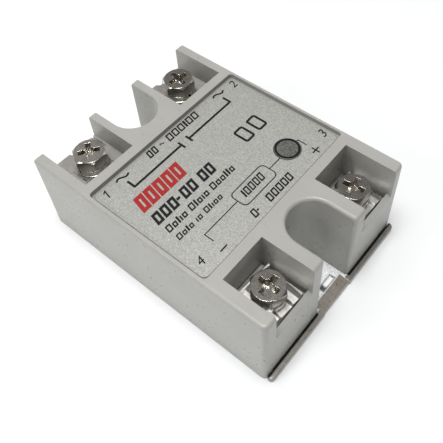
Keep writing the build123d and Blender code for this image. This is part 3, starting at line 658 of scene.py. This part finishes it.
def rounded_outline(along, across, radius, steps=6):
    """The outline of a rectangle with rounded corners."""
    points = []
    centres = (
        (along[1] - radius, across[1] - radius, 0),
        (along[0] + radius, across[1] - radius, 90),
        (along[0] + radius, across[0] + radius, 180),
        (along[1] - radius, across[0] + radius, 270),
    )
    for centre_along, centre_across, start in centres:
        for step in range(steps + 1):
            turn = math.radians(start + 90 * step / steps)
            points.append((centre_along + radius * math.cos(turn), centre_across + radius * math.sin(turn)))
    return points


def circle_outline(along, across, radius, count=64):
    """The points of a circle."""
    turns = [2 * math.pi * place / count for place in range(count)]
    return [(along + radius * math.cos(turn), across + radius * math.sin(turn)) for turn in turns]


def wave(along, across, length, height, count=18):
    """The points of an alternating-current sign."""
    points = []
    for place in range(count + 1):
        part = place / count
        points.append((along + length * part, across - height * math.sin(2 * math.pi * part)))
    return points


def text_outlines(text, size):
    """A digit's flat mesh from Blender's own font, in millimetres."""
    curve = bpy.data.curves.new("digit", "FONT")
    curve.body = text
    curve.size = size
    curve.shear = SLANT
    curve.align_x = "CENTER"
    curve.align_y = "CENTER"
    curve.resolution_u = 6
    holder = bpy.data.objects.new("digit", curve)
    bpy.context.scene.collection.objects.link(holder)
    flat = bpy.data.meshes.new_from_object(holder)
    bpy.data.objects.remove(holder)
    bpy.data.curves.remove(curve)
    return flat


def add_digit(drawing, text, along, across, size):
    """Adds a digit to a drawing, as a thin closed solid."""
    flat = text_outlines(text, size)
    part = bmesh.new()
    part.from_mesh(flat)
    bpy.data.meshes.remove(flat)
    bmesh.ops.remove_doubles(part, verts=part.verts, dist=WELD_DISTANCE)
    thick = bmesh.ops.extrude_face_region(part, geom=part.faces[:] + part.edges[:] + part.verts[:])
    raised = {item for item in thick["geom"] if isinstance(item, bmesh.types.BMVert)}
    places = {}
    for vert in part.verts:
        height = drawing.high if vert in raised else drawing.low
        places[vert] = drawing.corner(along + vert.co.x, across - vert.co.y, height)
    for face in part.faces:
        drawing.mesh.faces.new([places[vert] for vert in face.verts])
    part.free()


def add_load_bracket(drawing):
    """The load contact's bracket, with a post on each side of its break."""
    half = BRACKET_STROKE / 2
    left, right = BRACKET_ENDS
    left_post, right_post = BREAK_POSTS
    for end in BRACKET_ENDS:
        drawing.bar((end - half, end + half), (BRACKET_TIP, BRACKET_LEVEL + half))
    for post in BREAK_POSTS:
        drawing.bar(post, BREAK_POST_HEIGHT)
    for run in ((left + half, left_post[0]), (right_post[1], right - half)):
        drawing.bar(run, (BRACKET_LEVEL - half, BRACKET_LEVEL + half))


def add_control_circuit(drawing):
    """The control circuit's line, with gaps for its box and for the indicator window."""
    half = CIRCUIT_STROKE / 2
    left, right = CIRCUIT_ENDS
    box_start, box_end = CIRCUIT_BOX_GAP
    window_start, window_end = CIRCUIT_WINDOW_GAP
    for end in CIRCUIT_ENDS:
        drawing.bar((end - half, end + half), (CIRCUIT_LEVEL - half, CIRCUIT_TIP))
    for run in ((left + half, box_start), (box_end, window_start), (window_end, right - half)):
        drawing.bar(run, (CIRCUIT_LEVEL - half, CIRCUIT_LEVEL + half))
    drawing.frame(*CIRCUIT_BOX, CIRCUIT_STROKE, CIRCUIT_BOX_RADII)


def add_polarity_signs(drawing):
    """A minus, and a plus made of one bar and two half posts."""
    drawing.bar(*MINUS_BAR)
    drawing.bar(*PLUS_BAR)
    bar_top, bar_foot = PLUS_BAR[1]
    post_width, (post_top, post_foot) = PLUS_POST
    drawing.bar(post_width, (post_top, bar_top))
    drawing.bar(post_width, (bar_foot, post_foot))


def print_black():
    """Everything that is printed in black on the label."""
    drawing = Print(LABEL_LEVEL)
    add_load_bracket(drawing)
    add_control_circuit(drawing)
    add_polarity_signs(drawing)
    for along, across, length, height, width in WAVES:
        drawing.stroke(wave(along, across, length, height), width)
    for line in BLACK_LINES:
        drawing.words(*line)
    for start in MARK_STARTS:
        drawing.frame((start, start + MARK_WIDTH), MARK_HEIGHT, MARK_STROKE, MARK_RADII)
    middle_along, middle_across = DIGIT_ONE_MIDDLE
    drawing.prism([(middle_along + along, middle_across + across) for along, across in DIGIT_ONE])
    for digit, along, across, size in DIGITS:
        add_digit(drawing, digit, along, across, size)
    black = ink("black_ink", (0.010, 0.010, 0.011), (0.030, 0.030, 0.030))
    drawing.finish("label_print_black", black)


def print_red():
    """The red line of blocks in place of a name."""
    drawing = Print(LABEL_LEVEL)
    drawing.words(*RED_LINE)
    red = ink("red_ink", (0.33, 0.024, 0.022), (0.38, 0.06, 0.055))
    drawing.finish("label_print_red", red)


def indicator_ring():
    """The black printed rim on top of the indicator window."""
    low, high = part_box("indicator_window")
    along = (low[1] + high[1]) / 2 / MM
    across = (low[0] + high[0]) / 2 / MM
    outer = (high[0] - low[0]) / 2 / MM - RIM_INSET
    drawing = Print(high[2])
    drawing.band(circle_outline(along, across, outer - RIM_WIDTH), circle_outline(along, across, outer))
    rim = ink("rim_ink", (0.006, 0.006, 0.006), (0.012, 0.012, 0.012))
    drawing.finish("indicator_rim", rim)


LABEL_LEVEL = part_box("foil_label")[1][2]
print_black()
print_red()
indicator_ring()

# ---------------------------------------------------------------- camera, floor and light


def make_camera():
    """A camera above the control end and the side of terminals 1 and 4."""
    data = bpy.data.cameras.new("camera")
    data.lens = CAMERA_LENS
    data.sensor_width = CAMERA_SENSOR
    data.shift_x, data.shift_y = CAMERA_SHIFT
    data.clip_start, data.clip_end = (distance * MM for distance in CAMERA_CLIP)
    camera = bpy.data.objects.new("camera", data)
    camera.location = mm(*CAMERA_PLACE)
    camera.rotation_euler = [math.radians(angle) for angle in CAMERA_TURN]
    bpy.context.scene.collection.objects.link(camera)
    bpy.context.scene.camera = camera


def make_floor():
    """A wide sheet of paper under the relay."""
    half = FLOOR_SIZE / 2
    data = bpy.data.meshes.new("floor")
    corners = [mm(-half, -half, 0), mm(half, -half, 0), mm(half, half, 0), mm(-half, half, 0)]
    data.from_pydata(corners, [], [(0, 1, 2, 3)])
    data.materials.append(floor_paper())
    floor = bpy.data.objects.new("floor", data)
    bpy.context.scene.collection.objects.link(floor)


def make_light(name, place, size, watts):
    """A soft panel that points at the relay."""
    data = bpy.data.lights.new(name, "AREA")
    data.shape = "RECTANGLE"
    data.size, data.size_y = (side * MM for side in size)
    data.energy = watts
    light = bpy.data.objects.new(name, data)
    light.location = mm(*place)
    light.rotation_euler = (-mm(*place)).to_track_quat("-Z", "Y").to_euler()
    bpy.context.scene.collection.objects.link(light)


def world_part(tree, direction, part):
    """A factor for the sky that falls from 1 to part["left"] as it nears one direction."""
    dot = tree.nodes.new("ShaderNodeVectorMath")
    dot.operation = "DOT_PRODUCT"
    tree.links.new(direction, dot.inputs[0])
    dot.inputs[1].default_value = Vector(part["towards"]).normalized()
    ramp = tree.nodes.new("ShaderNodeMapRange")
    ramp.interpolation_type = "SMOOTHSTEP"
    ramp.inputs["From Min"].default_value = math.cos(math.radians(part["from"]))
    ramp.inputs["From Max"].default_value = math.cos(math.radians(part["to"]))
    ramp.inputs["To Min"].default_value = 1.0
    ramp.inputs["To Max"].default_value = part["left"]
    tree.links.new(dot.outputs["Value"], ramp.inputs["Value"])
    return ramp.outputs["Result"]


def make_world():
    """A soft white room that is darker towards +X, towards -Y and in one part of its ceiling."""
    world = bpy.data.worlds.new("studio")
    world.use_nodes = True
    tree = world.node_tree
    background = tree.nodes["Background"]
    background.inputs["Color"].default_value = (*WORLD_COLOUR, 1.0)
    direction = tree.nodes.new("ShaderNodeTexCoord").outputs["Generated"]
    strength = WORLD_STRENGTH
    for part in (DARK_SIDE, DARK_FRONT, DARK_CEILING):
        product = tree.nodes.new("ShaderNodeMath")
        product.operation = "MULTIPLY"
        tree.links.new(world_part(tree, direction, part), product.inputs[0])
        if isinstance(strength, bpy.types.NodeSocket):
            tree.links.new(strength, product.inputs[1])
        else:
            product.inputs[1].default_value = strength
        strength = product.outputs["Value"]
    tree.links.new(strength, background.inputs["Strength"])
    bpy.context.scene.world = world


make_camera()
make_floor()
make_light("key", **KEY_LIGHT)
make_light("top", **TOP_LIGHT)
make_light("glint", **GLINT_LIGHT)
make_light("rim", **RIM_LIGHT)
make_world()
bpy.context.scene.view_settings.view_transform = "Standard"
